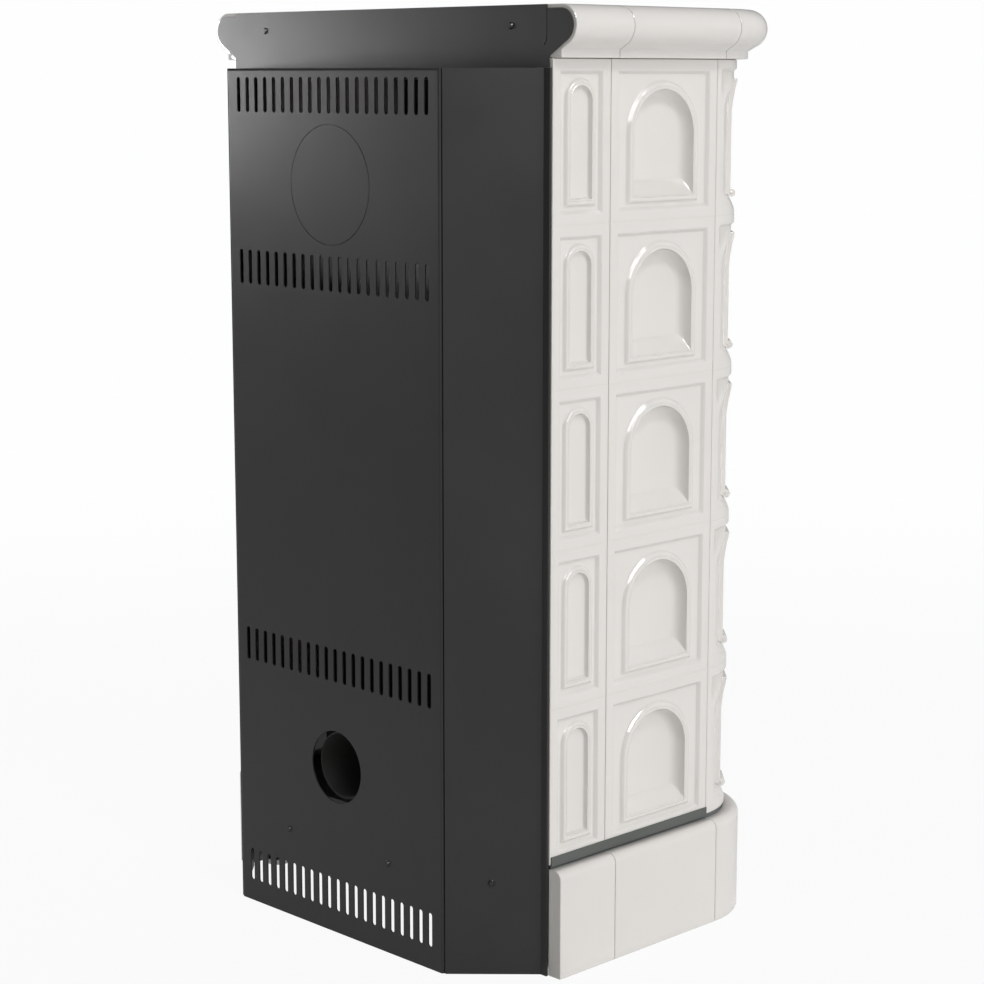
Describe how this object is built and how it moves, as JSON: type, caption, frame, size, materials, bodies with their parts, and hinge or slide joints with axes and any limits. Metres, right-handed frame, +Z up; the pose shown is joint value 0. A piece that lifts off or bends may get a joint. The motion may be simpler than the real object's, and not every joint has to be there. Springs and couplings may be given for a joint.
{
  "type": "tiled corner stove",
  "caption": "Free-standing tiled stove with a folded steel back, glazed niche tiles, a plinth and cornice, a hinged glass fire door, an ash drawer and two air slides.",
  "frame": {"origin": "middle of the stove's outline in plan, on the floor", "axes": "+Z up, -Y the front with the door, +Y the steel back, +X to the right seen from the front"},
  "size_m": [0.755, 0.5936, 1.336],
  "materials": {
    "black_steel": "satin black stove paint on sheet steel",
    "dark_steel": "dark grey paint",
    "screw_steel": "blackened steel",
    "wall_glaze": "white gloss glaze",
    "plinth_glaze": "white gloss glaze",
    "rope": "glass fibre rope and strip",
    "frame_steel": "grey primer",
    "plated_steel": "zinc plated or brushed",
    "box_steel": "heat resistant dark grey paint",
    "firebrick": "dry pressed chamotte",
    "cast_iron": "matt black",
    "smoked_glass": "clear glass ceramic"
  },
  "bodies": {
    "stove": {"rear_panel": "black_steel", "corner_panel_left": "black_steel", "corner_panel_right": "black_steel", "cornice_plate": "black_steel", "rear_cover": "black_steel", "top_plate": "black_steel", "casing_screws": "screw_steel", "ledge_angles": "dark_steel", "half_tiles_left": "wall_glaze", "half_tiles_right": "wall_glaze", "full_tiles_left": "wall_glaze", "full_tiles_right": "wall_glaze", "corner_tiles_left": "wall_glaze", "corner_tiles_right": "wall_glaze", "front_tiles": "wall_glaze", "plinth_side_tiles": "plinth_glaze", "plinth_corner_tiles": "plinth_glaze", "plinth_front_tiles": "plinth_glaze", "cornice_side_tiles": "wall_glaze", "cornice_corner_tiles": "wall_glaze", "cornice_front_tiles": "wall_glaze", "joint_strips": "rope", "base_rails": "frame_steel", "base_corners": "frame_steel", "base_cross_rails": "frame_steel", "base_legs": "frame_steel", "levelling_feet": "plated_steel", "frame_posts": "frame_steel", "top_rear_bar": "frame_steel", "firebox_stand": "frame_steel", "firebox_shell": "box_steel", "firebox_deck": "box_steel", "grate": "cast_iron", "floor_bricks": "firebrick", "side_bricks": "firebrick", "back_brick": "firebrick", "baffle": "firebrick", "upper_baffle": "box_steel", "log_guard": "cast_iron", "flue_collar": "cast_iron", "flue_cap": "cast_iron", "air_box": "box_steel", "air_pipe": "box_steel", "heat_shield": "plated_steel", "door_frame": "cast_iron", "latch_keeper": "plated_steel", "hinge_pins": "plated_steel"},
    "fire_door": {"fire_door": "cast_iron", "door_glass": "smoked_glass", "glass_clips": "plated_steel", "door_seal": "rope"},
    "door_handle": {"door_handle": "plated_steel", "handle_grip": "cast_iron", "latch_cam": "plated_steel"},
    "ash_drawer": {"ash_drawer": "box_steel", "ash_knob": "plated_steel"},
    "primary_air": {"primary_air_rod": "plated_steel", "primary_air_knob": "cast_iron"},
    "secondary_air": {"secondary_air_rod": "plated_steel", "secondary_air_knob": "cast_iron"}
  },
  "joints": [
    {"name": "fire_door_hinge", "type": "hinge", "parent": "stove", "child": "fire_door", "pos_m": [-0.209, -0.2518, 0.642], "axis": [0, 0, -1], "range_deg": [0, 105]},
    {"name": "door_handle_turn", "type": "hinge", "parent": "fire_door", "child": "door_handle", "pos_m": [0.196, -0.2523, 0.642], "axis": [0, -1, 0], "range_deg": [0, 80]},
    {"name": "ash_drawer_slide", "type": "slide", "parent": "stove", "child": "ash_drawer", "axis": [0, -1, 0], "range_m": [0, 0.26]},
    {"name": "primary_air_pull", "type": "slide", "parent": "stove", "child": "primary_air", "axis": [0, -1, 0], "range_m": [0, 0.04]},
    {"name": "secondary_air_pull", "type": "slide", "parent": "stove", "child": "secondary_air", "axis": [0, -1, 0], "range_m": [0, 0.04]}
  ]
}
